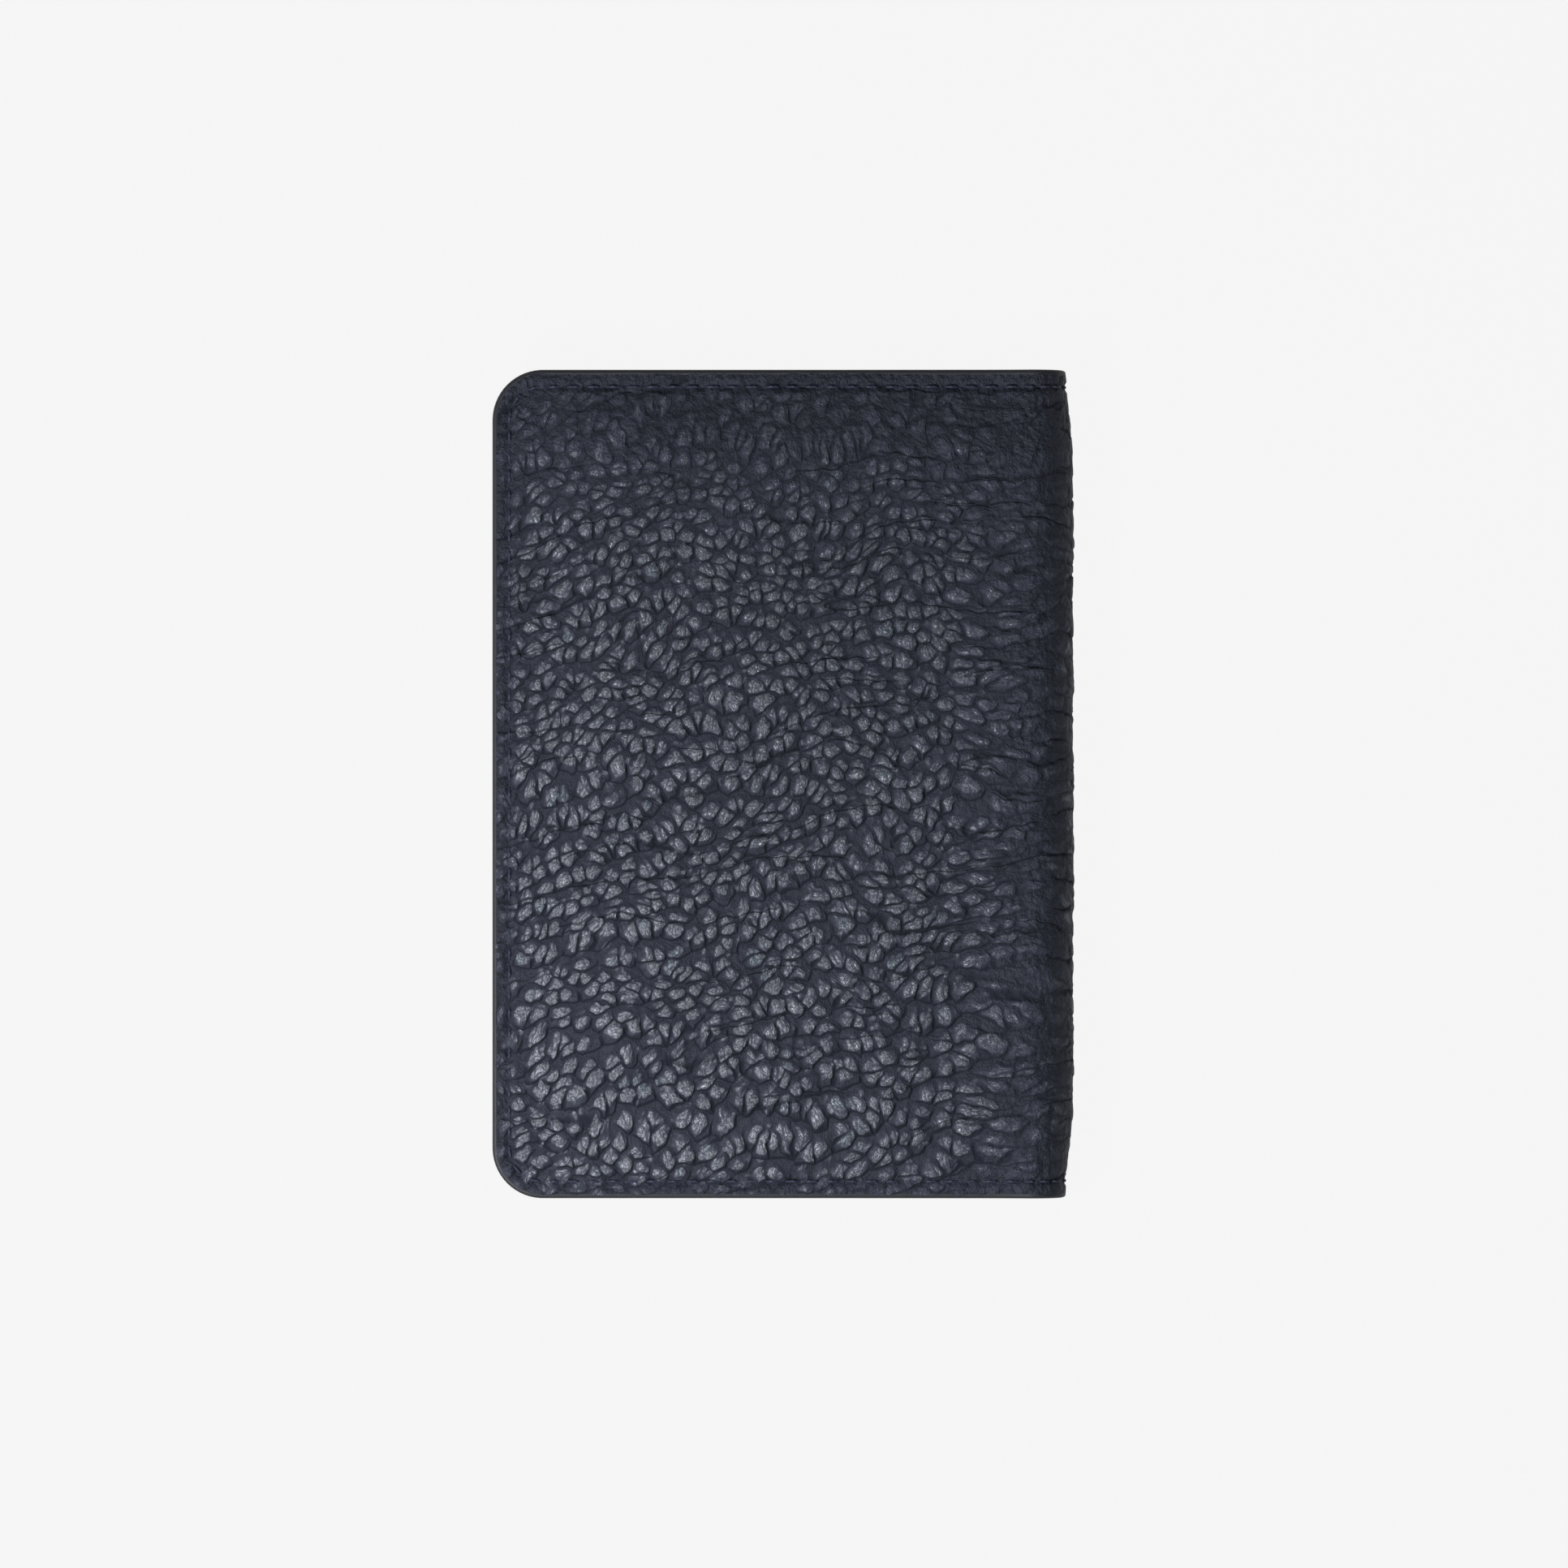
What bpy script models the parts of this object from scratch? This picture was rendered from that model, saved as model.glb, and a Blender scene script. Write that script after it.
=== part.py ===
"""A leather card holder that folds like a book, closed and lying on its front cover.

Metres, +Z up. The outer edges are at -X and the spine is at +X, the top edge at +Y.
Each half is a stack of flat sheets, from the outside in: cover, stiffener, lining,
pocket backer, two staggered pocket strips and a pocket panel, with a painted edge and
a seam round its three free sides. A half-round spine joins the two halves. It folds
along two lines, which turn together, so that the open holder lies flat.
"""

import math

import bmesh
import bpy
from mathutils import Matrix

# Overall size, closed
CLOSED_WIDTH = 0.0745
HEIGHT = 0.106
CORNER_RADIUS = 0.0063

# Thickness of each sheet
COVER_LEATHER = 0.0012
STIFFENER = 0.00025
LINING = 0.00025
BACKER = 0.0002
STRIP_LEATHER = 0.00025
PANEL_LEATHER = 0.00035

# Gaps between neighbours
BOND_GAP = 0.0002
HALVES_GAP = 0.0003
FOLD_GAP = 0.0004
EDGE_GAP = 0.0002

# Card pockets, sized to a plastic card
CARD_THICKNESS = 0.00076
CARD_PLAY = 0.00006
STRIP_COUNT = 2
POCKET_STEP = 0.0055
MOUTH_TO_FOLD = 0.0105
MOUTH_BAND = 0.011
TONGUE_STEP = 0.005
SEAM_ALLOWANCE = 0.0026

# Edge paint and seam
EDGE_PAINT = 0.0004
EDGE_PAINT_LIFT = 0.0003
SEAM_INSET = 0.002
THREAD_RADIUS = 0.0002
THREAD_SINK = 0.00005
THREAD_GAP = 0.0002
BOARD_TO_SEAM = 0.0012

# Facets
CORNER_STEPS = 8
SPINE_STEPS = 24
SPINE_SEAM_STEPS = 19
GROOVE_OVERRUN = 0.001

# The stack of sheets in one half, from its outer face inwards
SLOT = CARD_THICKNESS + CARD_PLAY
SHEETS = [
    ("cover", COVER_LEATHER, BOND_GAP),
    ("stiffener", STIFFENER, BOND_GAP),
    ("lining", LINING, BOND_GAP),
    ("pocket_backer", BACKER, SLOT),
    *[(f"pocket_strip_{i + 1}", STRIP_LEATHER, SLOT) for i in range(STRIP_COUNT)],
    ("pocket_panel", PANEL_LEATHER, HALVES_GAP / 2),
]
HALF_THICKNESS = sum(thickness + gap for _, thickness, gap in SHEETS)

# Places that follow from those sizes
SPINE_RADIUS = HALF_THICKNESS
OUTER_X = -CLOSED_WIDTH / 2
SPINE_X = CLOSED_WIDTH / 2 - SPINE_RADIUS
FOLD_X = SPINE_X - FOLD_GAP
SHEET_INSET = EDGE_PAINT + EDGE_GAP
THREAD_DEPTH = THREAD_SINK + THREAD_RADIUS
SEAM_Y = HEIGHT / 2 - SEAM_INSET

# A fold line lies this far inside the spine's outer face, so that a quarter turn on
# each line brings the middle of the spine down level with both covers
FOLD_DEPTH = SPINE_RADIUS * (1 - math.pi / 4)
FOLD_AXIS_X = SPINE_X + SPINE_RADIUS - FOLD_DEPTH


def clear_scene():
    for obj in list(bpy.data.objects):
        bpy.data.objects.remove(obj)


def new_collection(name):
    collection = bpy.data.collections.new(name)
    bpy.context.scene.collection.children.link(collection)
    return collection


def paint(obj, colour, roughness):
    """Gives the object its own plain material."""
    material = bpy.data.materials.new(obj.name)
    material.use_nodes = True
    shader = material.node_tree.nodes["Principled BSDF"]
    shader.inputs["Base Color"].default_value = (*colour, 1.0)
    shader.inputs["Roughness"].default_value = roughness
    shader.inputs["Metallic"].default_value = 0.0
    obj.data.materials.append(material)


def curve_object(name, points, cyclic, collection):
    data = bpy.data.curves.new(name, "CURVE")
    spline = data.splines.new("POLY")
    spline.points.add(len(points) - 1)
    for point, place in zip(spline.points, points):
        point.co = (*place, 1.0)
    spline.use_cyclic_u = cyclic
    obj = bpy.data.objects.new(name, data)
    collection.objects.link(obj)
    return obj


def flat_sheet(name, outline, low, high, collection):
    """A closed flat outline, filled, from height low to height high."""
    obj = curve_object(name, [(x, y, 0.0) for x, y in outline], True, collection)
    obj.data.dimensions = "2D"
    obj.data.fill_mode = "BOTH"
    obj.data.extrude = (high - low) / 2
    obj.location.z = (low + high) / 2
    return obj


def tube(name, points, radius, collection):
    obj = curve_object(name, points, False, collection)
    obj.data.dimensions = "3D"
    obj.data.bevel_depth = radius
    obj.data.bevel_resolution = 2
    obj.data.use_fill_caps = True
    return obj


def as_mesh(obj):
    """The curve's solid as a mesh object with welded caps, in the curve's place."""
    bpy.context.view_layer.update()
    name = obj.name
    collection = obj.users_collection[0]
    place = obj.matrix_world.copy()
    depsgraph = bpy.context.evaluated_depsgraph_get()
    mesh = bpy.data.meshes.new_from_object(obj.evaluated_get(depsgraph))
    bpy.data.objects.remove(obj)
    work = bmesh.new()
    work.from_mesh(mesh)
    bmesh.ops.remove_doubles(work, verts=work.verts, dist=1e-6)
    bmesh.ops.recalc_face_normals(work, faces=work.faces)
    work.to_mesh(mesh)
    work.free()
    mesh.name = name
    solid = bpy.data.objects.new(name, mesh)
    solid.matrix_world = place
    collection.objects.link(solid)
    return solid


def cut(obj, cutter):
    cutter.hide_render = True
    cutter.display_type = "WIRE"
    groove = obj.modifiers.new(cutter.name, "BOOLEAN")
    groove.operation = "DIFFERENCE"
    groove.object = cutter


def pivot(name, x, z, parent, collection):
    """An empty on a fold line, which the pieces that turn about it hang from."""
    empty = bpy.data.objects.new(name, None)
    empty.location = (x, 0.0, z)
    collection.objects.link(empty)
    if parent:
        hang(empty, parent)
    return empty


def hang(obj, parent):
    bpy.context.view_layer.update()
    obj.parent = parent
    obj.matrix_parent_inverse = Matrix(parent.matrix_world).inverted()


def three_sides(inset, end_x):
    """The line inside the outer edge by inset: along the top from end_x, down the
    outer side and back along the bottom, with its two corners rounded."""
    radius = CORNER_RADIUS - inset
    centre_x = OUTER_X + CORNER_RADIUS
    centre_y = HEIGHT / 2 - CORNER_RADIUS
    points = [(end_x, HEIGHT / 2 - inset)]
    for side, first in ((1, math.pi / 2), (-1, math.pi)):
        for step in range(CORNER_STEPS + 1):
            angle = first + math.pi / 2 * step / CORNER_STEPS
            x = centre_x + radius * math.cos(angle)
            y = side * centre_y + radius * math.sin(angle)
            points.append((x, y))
    points.append((end_x, -HEIGHT / 2 + inset))
    return points


def strip_outline(mouth_x, bottom_x):
    """A pocket strip: a band along the mouth, caught in the seam at both ends, and a
    narrower tongue that runs down to the bottom of its pocket."""
    band_y = HEIGHT / 2 - SHEET_INSET
    tongue_y = band_y - TONGUE_STEP
    band_x = mouth_x - MOUTH_BAND
    half = [(mouth_x, band_y), (band_x, band_y), (band_x, tongue_y), (bottom_x, tongue_y)]
    return half + [(x, -y) for x, y in reversed(half)]


def spine_arc(radius, steps):
    """Points on a half circle round the spine's centre line, from bottom to top."""
    points = []
    for step in range(steps + 1):
        angle = -math.pi / 2 + math.pi * step / steps
        x = SPINE_X + radius * math.cos(angle)
        z = SPINE_RADIUS + radius * math.sin(angle)
        points.append((x, z))
    return points


def spine_layer(name, outer_radius, thickness, length, collection):
    """A sheet bent into a half tube along Y, open towards the two halves."""
    outer = spine_arc(outer_radius, SPINE_STEPS)
    inner = spine_arc(outer_radius - thickness, SPINE_STEPS)
    outline = outer + inner[::-1]
    sheet = flat_sheet(name, outline, -length / 2, length / 2, collection)
    sheet.location = (0.0, 0.0, 0.0)
    sheet.rotation_euler = (math.pi / 2, 0.0, 0.0)
    return sheet


def build_half(side, place, parts, cutters):
    """One half. place turns a height above its outer face into a height in the model."""
    pieces = {}
    depth = 0.0
    strip_mouth = {
        f"pocket_strip_{i + 1}": FOLD_X - MOUTH_TO_FOLD - i * POCKET_STEP
        for i in range(STRIP_COUNT)
    }
    strip_bottom = {
        f"pocket_strip_{i + 1}": OUTER_X + SEAM_ALLOWANCE + (STRIP_COUNT - i) * POCKET_STEP
        for i in range(STRIP_COUNT)
    }
    outlines = {
        "cover": three_sides(SHEET_INSET, FOLD_X),
        "stiffener": three_sides(SEAM_INSET + BOARD_TO_SEAM, FOLD_X),
        "lining": three_sides(SHEET_INSET, FOLD_X),
        "pocket_backer": three_sides(SHEET_INSET, FOLD_X),
        "pocket_panel": three_sides(
            SHEET_INSET, FOLD_X - MOUTH_TO_FOLD - STRIP_COUNT * POCKET_STEP
        ),
    }
    for sheet, thickness, gap in SHEETS:
        if sheet in strip_mouth:
            outline = strip_outline(strip_mouth[sheet], strip_bottom[sheet])
        else:
            outline = outlines[sheet]
        low, high = sorted((place(depth), place(depth + thickness)))
        pieces[sheet] = flat_sheet(f"{side}_{sheet}", outline, low, high, parts)
        depth += thickness + gap

    band = three_sides(0.0, FOLD_X) + three_sides(EDGE_PAINT, FOLD_X)[::-1]
    edge_top = HALF_THICKNESS - HALVES_GAP / 2 - EDGE_PAINT_LIFT
    low, high = sorted((place(EDGE_PAINT_LIFT), place(edge_top)))
    pieces["edge_paint"] = flat_sheet(f"{side}_edge_paint", band, low, high, parts)

    seam_z = place(THREAD_DEPTH)
    seam = [(x, y, seam_z) for x, y in three_sides(SEAM_INSET, FOLD_X)]
    groove = [(x, y, seam_z) for x, y in three_sides(SEAM_INSET, FOLD_X + GROOVE_OVERRUN)]
    pieces["seam_thread"] = tube(f"{side}_seam_thread", seam, THREAD_RADIUS, parts)
    cutter = tube(f"{side}_seam_groove", groove, THREAD_RADIUS + THREAD_GAP, cutters)
    pieces["cover"] = as_mesh(pieces["cover"])
    cut(pieces["cover"], as_mesh(cutter))
    return pieces


def build_spine(parts, cutters):
    """The spine: its leather, a stiffener and a lining, and the seam across both ends."""
    stiffener_radius = SPINE_RADIUS - COVER_LEATHER - BOND_GAP
    lining_radius = stiffener_radius - STIFFENER - BOND_GAP
    stiffener_length = HEIGHT - 2 * (SEAM_INSET + BOARD_TO_SEAM)
    pieces = {
        "cover": spine_layer("spine_cover", SPINE_RADIUS, COVER_LEATHER, HEIGHT, parts),
        "stiffener": spine_layer(
            "spine_stiffener", stiffener_radius, STIFFENER, stiffener_length, parts
        ),
        "lining": spine_layer(
            "spine_lining", lining_radius, LINING, HEIGHT - 2 * SHEET_INSET, parts
        ),
    }
    pieces["cover"] = as_mesh(pieces["cover"])
    seam_arc = spine_arc(SPINE_RADIUS - THREAD_DEPTH, SPINE_SEAM_STEPS)
    lead_in = (SPINE_X - GROOVE_OVERRUN, seam_arc[0][1])
    lead_out = (SPINE_X - GROOVE_OVERRUN, seam_arc[-1][1])
    for end, y in (("top", SEAM_Y), ("bottom", -SEAM_Y)):
        seam = [(x, y, z) for x, z in seam_arc]
        groove = [(x, y, z) for x, z in (lead_in, *seam_arc, lead_out)]
        pieces[end] = tube(f"spine_seam_{end}", seam, THREAD_RADIUS, parts)
        cutter = tube(f"spine_groove_{end}", groove, THREAD_RADIUS + THREAD_GAP, cutters)
        cut(pieces["cover"], as_mesh(cutter))
    return pieces


LEATHER = (0.033, 0.036, 0.052)
POCKET = (0.036, 0.039, 0.056)
CLOTH = (0.030, 0.032, 0.044)
BOARD = (0.42, 0.38, 0.32)
PAINTED_EDGE = (0.020, 0.021, 0.028)
THREAD = (0.022, 0.024, 0.038)

FINISHES = {
    "cover": (LEATHER, 0.5),
    "stiffener": (BOARD, 0.8),
    "lining": (POCKET, 0.6),
    "pocket_backer": (CLOTH, 0.8),
    "pocket_strip_1": (POCKET, 0.55),
    "pocket_strip_2": (POCKET, 0.55),
    "pocket_panel": (POCKET, 0.55),
    "edge_paint": (PAINTED_EDGE, 0.35),
    "seam_thread": (THREAD, 0.6),
    "top": (THREAD, 0.6),
    "bottom": (THREAD, 0.6),
}

clear_scene()
holder = new_collection("card_holder")
tools = new_collection("cutters")

lower_fold = pivot("lower_fold_line", FOLD_AXIS_X, FOLD_DEPTH, None, holder)
upper_fold = pivot(
    "upper_fold_line", FOLD_AXIS_X, 2 * SPINE_RADIUS - FOLD_DEPTH, lower_fold, holder
)

front = build_half("front", lambda depth: depth, holder, tools)
spine = build_spine(holder, tools)
back = build_half("back", lambda depth: 2 * SPINE_RADIUS - depth, holder, tools)

for piece in spine.values():
    hang(piece, lower_fold)
for piece in back.values():
    hang(piece, upper_fold)
for group in (front, spine, back):
    for kind, piece in group.items():
        paint(piece, *FINISHES[kind])
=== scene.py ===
import math

import bpy
import numpy as np
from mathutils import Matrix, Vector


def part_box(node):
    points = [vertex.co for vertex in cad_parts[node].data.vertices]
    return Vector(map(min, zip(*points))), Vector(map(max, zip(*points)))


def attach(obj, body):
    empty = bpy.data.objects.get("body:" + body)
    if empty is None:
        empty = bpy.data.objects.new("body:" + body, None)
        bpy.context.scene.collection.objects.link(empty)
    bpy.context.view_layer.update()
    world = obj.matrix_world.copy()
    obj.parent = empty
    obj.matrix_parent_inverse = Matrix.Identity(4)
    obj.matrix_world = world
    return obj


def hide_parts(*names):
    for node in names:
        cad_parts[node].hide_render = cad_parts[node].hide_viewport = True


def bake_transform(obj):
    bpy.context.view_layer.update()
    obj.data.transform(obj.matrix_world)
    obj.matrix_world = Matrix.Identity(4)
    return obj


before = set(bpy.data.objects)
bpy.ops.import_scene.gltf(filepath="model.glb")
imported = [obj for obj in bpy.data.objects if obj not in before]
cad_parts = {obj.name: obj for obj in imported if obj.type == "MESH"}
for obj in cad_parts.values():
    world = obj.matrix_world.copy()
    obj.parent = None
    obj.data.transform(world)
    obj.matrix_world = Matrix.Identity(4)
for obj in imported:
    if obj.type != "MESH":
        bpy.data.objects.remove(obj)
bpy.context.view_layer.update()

# ---------------------------------------------------------------------------
# Studio. The holder lies on a plain pale table, seen from straight above with a
# long lens. A small soft box hangs low over its lower left corner, and a large weak
# one far behind it.
# ---------------------------------------------------------------------------
MM = 0.001
VIEW_WIDTH = 200.9 * MM
CAMERA_HEIGHT = 1.4
SENSOR = 36.0
TABLE_SIZE = 12.0
TABLE_COLOUR = (0.922, 0.922, 0.922, 1.0)
TABLE_GLOW = 0.985
TABLE_MATT = 0.006
TABLE_DROP = 0.02 * MM
SKY_COLOUR = (0.93, 0.96, 1.0, 1.0)
SKY_STRENGTH = 0.16

cover_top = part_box("back_cover")[1].z
bpy.ops.object.select_all(action="DESELECT")

camera_data = bpy.data.cameras.new("camera")
camera_data.sensor_width = SENSOR
camera_data.lens = SENSOR * (CAMERA_HEIGHT - cover_top) / VIEW_WIDTH
camera_data.clip_end = 50.0
camera = bpy.data.objects.new("camera", camera_data)
camera.location = (0.0, 0.0, CAMERA_HEIGHT)
bpy.context.scene.collection.objects.link(camera)
bpy.context.scene.camera = camera

bpy.ops.mesh.primitive_plane_add(size=TABLE_SIZE, location=(0.0, 0.0, -TABLE_DROP))
table = bpy.context.object
table.name = "table"
table_finish = bpy.data.materials.new("table_white")
table_finish.use_nodes = True
table_shader = table_finish.node_tree.nodes["Principled BSDF"]
table_shader.inputs["Base Color"].default_value = (TABLE_MATT, TABLE_MATT, TABLE_MATT, 1.0)
table_shader.inputs["Roughness"].default_value = 1.0
table_shader.inputs["Specular IOR Level"].default_value = 0.0
table_shader.inputs["Emission Color"].default_value = TABLE_COLOUR
table_shader.inputs["Emission Strength"].default_value = TABLE_GLOW
table.data.materials.append(table_finish)

SOFT_BOXES = [
    # name, place, size, watts
    ("key_box", (-0.165, -0.13, 0.30), 0.10, 2.25),
    ("top_box", (0.10, 0.45, 1.10), 0.60, 1.2),
]
for name, where, size, power in SOFT_BOXES:
    lamp = bpy.data.lights.new(name, "AREA")
    lamp.size = size
    lamp.energy = power
    box = bpy.data.objects.new(name, lamp)
    box.location = where
    aim = -box.location
    box.rotation_euler = aim.to_track_quat("-Z", "Y").to_euler()
    bpy.context.scene.collection.objects.link(box)

sky = bpy.data.worlds.new("studio")
bpy.context.scene.world = sky
sky.use_nodes = True
background = sky.node_tree.nodes["Background"]
background.inputs["Color"].default_value = SKY_COLOUR
background.inputs["Strength"].default_value = SKY_STRENGTH
bpy.context.scene.view_settings.view_transform = "Standard"


# ---------------------------------------------------------------------------
# Outer leather. One piece of shrunken navy calf makes both covers and the spine.
# It is skived thinner towards its free edges and pebbled by the tanning drum. The two
# meshes meet in the middle of the spine.
# ---------------------------------------------------------------------------
class Wire:
    """One socket of a node tree. Arithmetic on it adds Math nodes to that tree."""

    def __init__(self, tree, socket):
        self.tree = tree
        self.socket = socket

    def node(self, kind, settings, inputs, output=0):
        """Adds a node, sets its settings first and then its sockets, by name or number."""
        made = self.tree.nodes.new(kind)
        for name, value in settings.items():
            setattr(made, name, value)
        for key, value in inputs.items():
            target = made.inputs[key]
            if isinstance(value, Wire):
                self.tree.links.new(value.socket, target)
            else:
                target.default_value = value
        return Wire(self.tree, made.outputs[output])

    def math(self, operation, *values):
        inputs = dict(enumerate((self, *values)))
        return self.node("ShaderNodeMath", {"operation": operation}, inputs)

    def __add__(self, other):
        return self.math("ADD", other)

    def __sub__(self, other):
        return self.math("SUBTRACT", other)

    def __mul__(self, other):
        return self.math("MULTIPLY", other)

    def __truediv__(self, other):
        return self.math("DIVIDE", other)

    __radd__ = __add__
    __rmul__ = __mul__

    def __rsub__(self, other):
        return (self * -1.0) + other

    def ramp(self, low, high, to_low=0.0, to_high=1.0):
        """A smooth step from to_low, at low and under, to to_high, at high and over."""
        return self.node(
            "ShaderNodeMapRange",
            {"interpolation_type": "SMOOTHSTEP", "clamp": True},
            {"Value": self, 1: low, 2: high, 3: to_low, 4: to_high},
        )

    def xyz(self):
        split = self.tree.nodes.new("ShaderNodeSeparateXYZ")
        self.tree.links.new(self.socket, split.inputs[0])
        return [Wire(self.tree, output) for output in split.outputs]

    def moved(self, way):
        return self.node("ShaderNodeVectorMath", {"operation": "ADD"}, {0: self, 1: way})

    def point(self, x, y, z=0.0):
        return self.node("ShaderNodeCombineXYZ", {}, {0: x, 1: y, 2: z})

    def noise(self, place, scale, detail=2.0, roughness=0.5, output=0):
        return self.node(
            "ShaderNodeTexNoise",
            {"noise_dimensions": "3D"},
            {"Vector": place, "Scale": scale, "Detail": detail, "Roughness": roughness},
            output,
        )

    def cells(self, place, spacing, feature="F1", output=0):
        return self.node(
            "ShaderNodeTexVoronoi",
            {"voronoi_dimensions": "2D", "feature": feature},
            {"Vector": place, "Scale": 1.0 / spacing},
            output,
        )


# Places on the flat hide are in millimetres: across from the outer edge towards the
# spine, and along from the bottom edge (negative) to the top edge
spine_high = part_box("spine_cover")[1]
edge_low, edge_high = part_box("front_edge_paint")
HALF_THICK = spine_high.z / 2 / MM
OUTER_EDGE = edge_low.x / MM
FOLD_START = spine_high.x / MM - HALF_THICK
FLAT_WIDTH = FOLD_START - OUTER_EDGE
SPINE_HALF_ARC = math.pi / 2 * HALF_THICK
HIDE_WIDTH = FLAT_WIDTH + SPINE_HALF_ARC
HALF_HEIGHT = edge_high.y / MM
CORNER = 6.3
LEATHER = 1.0
SEAM_IN = 2.0

# how far the outer face sinks to the sewn edges, and how far in from them it starts
EDGE_SINK = 2.0
SIDE_ROLL = 18.0
END_ROLL = 12.0
EDGE_BEAD = 0.25
# how deep the innermost layer of the spine lies
FOLD_ZONE = 12.0
FOLD_OPENING = 0.55


def smooth(t):
    t = np.clip(t, 0.0, 1.0)
    return t * t * (3.0 - 2.0 * t)


def pinch(across, along):
    """1 at the three sewn edges and 0 inside, where the half is at its full thickness."""
    side = 1.0 - smooth(across / SIDE_ROLL)
    end = 1.0 - smooth((HALF_HEIGHT - np.abs(along)) / END_ROLL)
    return 1.0 - (1.0 - side) * (1.0 - end)


def laid(across, along, depth, seam_depth, side):
    """Where a point of a sheet lies: depth under the outer face in the middle of its
    half, seam_depth where the sheets are pressed together, and round the spine."""
    over_fold = smooth((across - FLAT_WIDTH + FOLD_ZONE / 2) / FOLD_ZONE)
    pressed = pinch(across, along) * (1.0 - FOLD_OPENING * over_fold)
    sunk = depth + (seam_depth - depth) * pressed
    turn = np.clip((across - FLAT_WIDTH) / HALF_THICK, 0.0, math.pi / 2)
    radius = HALF_THICK - sunk
    flat_x = OUTER_EDGE + np.minimum(across, FLAT_WIDTH)
    x = flat_x + np.where(across > FLAT_WIDTH, radius * np.sin(turn), 0.0)
    z = np.where(across > FLAT_WIDTH, HALF_THICK - radius * np.cos(turn), sunk)
    if side == "back":
        z = 2 * HALF_THICK - z
    return np.stack([x, along, z], axis=1) * MM


def rounded(u, v, left, right, half, corner):
    """The unit square as a sheet from left to right, its two left corners rounded."""
    across = left + (right - left) * u
    along = half * (2.0 * v - 1.0)
    a = np.clip((left + corner - across) / corner, 0.0, 1.0)
    b = np.clip((np.abs(along) - half + corner) / corner, 0.0, 1.0)
    near = (a > 0) & (b > 0)
    round_a = a * np.sqrt(1.0 - b * b / 2.0)
    round_b = b * np.sqrt(1.0 - a * a / 2.0)
    across = np.where(near, left + corner - corner * round_a, across)
    turned = np.sign(along) * (half - corner + corner * round_b)
    along = np.where(near, turned, along)
    return across, along


def new_grid(name, columns, rows):
    """A grid primitive, with the unit square coordinates of its vertices."""
    bpy.ops.object.select_all(action="DESELECT")
    bpy.ops.mesh.primitive_grid_add(x_subdivisions=columns, y_subdivisions=rows, size=1.0)
    grid = bpy.context.object
    grid.name = name
    grid.data.name = name
    flat = np.zeros(len(grid.data.vertices) * 3)
    grid.data.vertices.foreach_get("co", flat)
    flat = flat.reshape(-1, 3)
    return grid, flat[:, 0] + 0.5, flat[:, 1] + 0.5


def place(obj, points):
    obj.data.vertices.foreach_set("co", np.asarray(points, np.float32).ravel())
    obj.data.update()


def to_edge(across, along):
    """How far a place on the flat hide is from the free edge, up to the corner radius."""
    from_side = np.clip(CORNER - across, 0.0, None)
    from_end = np.clip(CORNER - (HALF_HEIGHT - np.abs(along)), 0.0, None)
    return CORNER - np.hypot(from_side, from_end)


def keep_flat_place(obj, across, along, third=None):
    """Stores each vertex's place on the flat hide, for patterns that follow the sheet,
    with a third value: how far it is from the free edge, unless another is given."""
    if third is None:
        third = to_edge(across, along)
    flat = obj.data.attributes.new("flat_place", "FLOAT_VECTOR", "POINT")
    values = np.stack([across, along, third], axis=1)
    flat.data.foreach_set("vector", values.astype(np.float32).ravel())


def apply_all(obj):
    bpy.ops.object.select_all(action="DESELECT")
    obj.select_set(True)
    bpy.context.view_layer.objects.active = obj
    for modifier in list(obj.modifiers):
        bpy.ops.object.modifier_apply(modifier=modifier.name)


def thicken(obj, thickness, side):
    """Gives a sheet its thickness, inwards from the face that it was laid on."""
    wall = obj.modifiers.new("thickness", "SOLIDIFY")
    wall.thickness = thickness * MM
    wall.offset = 1.0 if side == "front" else -1.0
    apply_all(obj)


def set_finish(obj, material):
    obj.data.materials.clear()
    obj.data.materials.append(material)


# the grain: the spacing of its large and small pebbles and of a large one's lobes
PEBBLE = 2.20
GRAIN = 1.35
LOBE = 1.1
LOBE_SQUASH = 0.72
# a pebble's radius, as a share of the spacing, and its height: least, and spread
RADIUS_LEAST, RADIUS_SPREAD = 0.50, 0.24
STAND_LEAST, STAND_SPREAD = 0.65, 0.45
SMALL_LEAST, SMALL_SPREAD = 0.05, 0.45
# the slow bends of the grain: how far apart they are, and how far they move it
DRIFT_STEP, DRIFT = 19.0, 1.8
SWAY_STEP, SWAY = 14.0, 1.0
JITTER_STEP, JITTER = 1.7, 0.20
# how it leans, closes up, and is pulled long at the spine and at the top edge
LEAN = 0.30
CLOSER_ACROSS = 0.0016
CLOSER_ALONG = 0.0013
PULL_FROM = FLAT_WIDTH - 9.0
PULL = 0.45
TOP_PULL_FROM = HALF_HEIGHT - 12.0
TOP_PULL = 0.40
# the share of its height that is left round the spine, at the top and past the seam
LEFT_AT_SPINE, LEFT_AT_TOP, LEFT_PAST_SEAM = 0.40, 0.50, 0.5
# long creases and short wrinkles: widths as shares of their patterns
CREASE_WIDTH = 0.016
WRINKLE_WIDTH = 0.10
WRINKLE_STEP = 3.2
WRINKLE_STRAY = 2.2
# heights and depths of the relief that the mesh carries
PEBBLE_HEIGHT = 0.46
CREASE_DEPTH = 0.20
CREASE_ON_FLAT, CREASE_ON_SPINE = 0.75, 1.3
WAVE_STEP, WAVE = 9.0, 0.08
GRAIN_SINK = 0.10
RIM_SINK = 0.12
TABLE_PRESS = 0.30
SEAM_DIP = 0.30
SEAM_DIP_DEPTH = 0.26


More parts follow.
